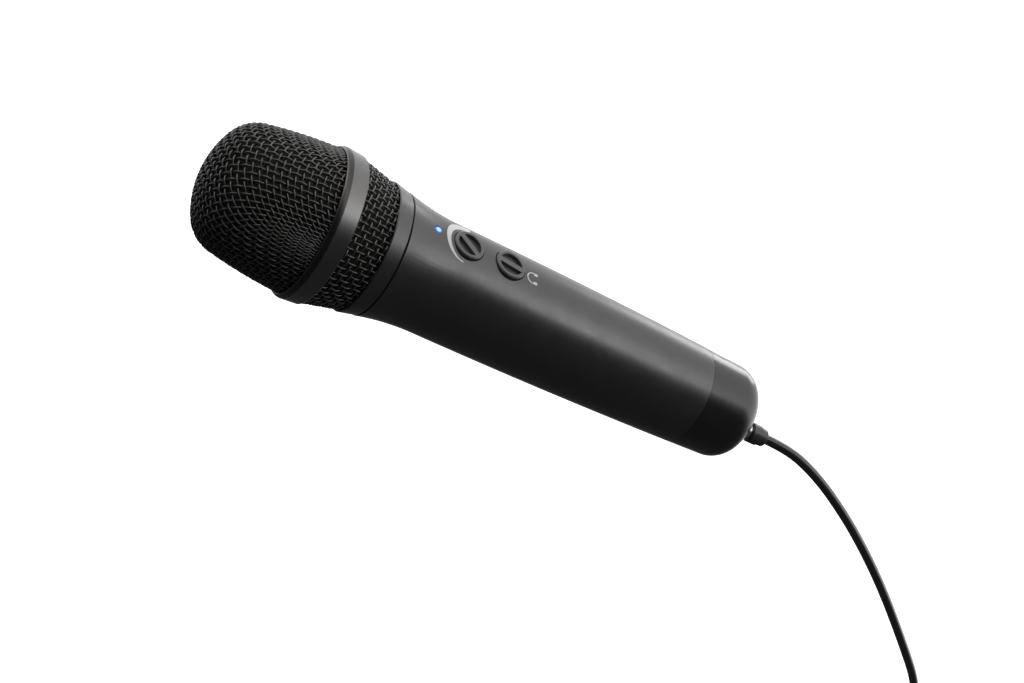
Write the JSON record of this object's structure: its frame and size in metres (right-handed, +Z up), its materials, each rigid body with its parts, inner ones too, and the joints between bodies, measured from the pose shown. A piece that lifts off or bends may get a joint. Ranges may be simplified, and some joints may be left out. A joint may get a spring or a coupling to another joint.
{
  "type": "karaoke microphone",
  "caption": "Hand-held microphone with a woven wire grille, two recessed turn knobs on the barrel, a status light and a plug-in USB lead.",
  "frame": {"origin": "on the body's axis in the middle of the grip, 95 mm behind the front edge of the head band", "axes": "+X along the body towards the grille, +Z up through the two knobs, +Y completes the frame on the lead's side"},
  "size_m": [0.4119, 0.0506, 0.2872],
  "materials": {
    "body_paint": "satin",
    "band_metal": "satin",
    "grille_wire": "satin",
    "inner_steel": "brushed",
    "nickel_plate": "polished",
    "contact_brass": "polished",
    "capsule_can": "satin",
    "foam": "open-cell foam",
    "soft_rubber": "matte",
    "plug_rubber": "fine matte",
    "cord_jacket": "glossy",
    "tie_strap": "hook-and-loop weave",
    "wire_insulation": "satin",
    "black_plastic": "moulded",
    "knob_plastic": "moulded satin",
    "cap_plastic": "glossy",
    "pale_plastic": "moulded",
    "circuit_board": "solder mask",
    "led_lens": "clear, lit blue"
  },
  "bodies": {
    "handle": {"threaded_neck": "inner_steel", "capsule_holder": "black_plastic", "capsule_shock_mount": "soft_rubber", "capsule_housing": "capsule_can", "capsule_screen": "foam", "capsule_wires": "wire_insulation", "handle_barrel": "body_paint", "chassis_sled": "black_plastic", "main_board": "circuit_board", "board_screws": "inner_steel", "board_chips": "black_plastic", "board_capacitors": "capsule_can", "capsule_connector": "pale_plastic", "gain_potentiometer": "inner_steel", "volume_potentiometer": "inner_steel", "status_led": "pale_plastic", "led_light_pipe": "led_lens", "tail_cap": "cap_plastic", "tail_cap_screw": "inner_steel", "headphone_jack": "black_plastic", "jack_ring": "nickel_plate", "cable_socket": "nickel_plate", "socket_contact_block": "black_plastic", "tail_wires": "wire_insulation"},
    "head": {"upper_grille": "grille_wire", "foam_windscreen": "foam", "head_band": "band_metal", "band_inner_ring": "inner_steel", "lower_grille": "grille_wire", "lower_windscreen": "foam", "neck_collar": "body_paint"},
    "gain_control": {"gain_knob": "knob_plastic", "gain_shaft": "inner_steel"},
    "volume_control": {"volume_knob": "knob_plastic", "volume_shaft": "inner_steel"},
    "cable": {"cable_plug_shell": "nickel_plate", "cable_plug_core": "black_plastic", "cable_plug_pins": "contact_brass", "cable_boot": "soft_rubber", "cord_tube": "cord_jacket", "cord_coil": "cord_jacket", "cord_end": "cord_jacket", "coil_tie": "tie_strap", "usb_overmould": "plug_rubber", "usb_shell": "nickel_plate", "usb_tongue": "black_plastic"}
  },
  "joints": [
    {"name": "head_lift_off", "type": "slide", "parent": "handle", "child": "head", "axis": [1, 0, 0], "range_m": [0, 0.045]},
    {"name": "gain_turn", "type": "hinge", "parent": "handle", "child": "gain_control", "pos_m": [0.0511, 0, 0.0175], "axis": [0, 0, 1], "range_deg": [-97, 183]},
    {"name": "volume_turn", "type": "hinge", "parent": "handle", "child": "volume_control", "pos_m": [0.0359, 0, 0.0175], "axis": [0, 0, 1], "range_deg": [-132, 148]},
    {"name": "cable_unplug", "type": "slide", "parent": "handle", "child": "cable", "axis": [-1, 0, 0], "range_m": [0, 0.012]}
  ]
}
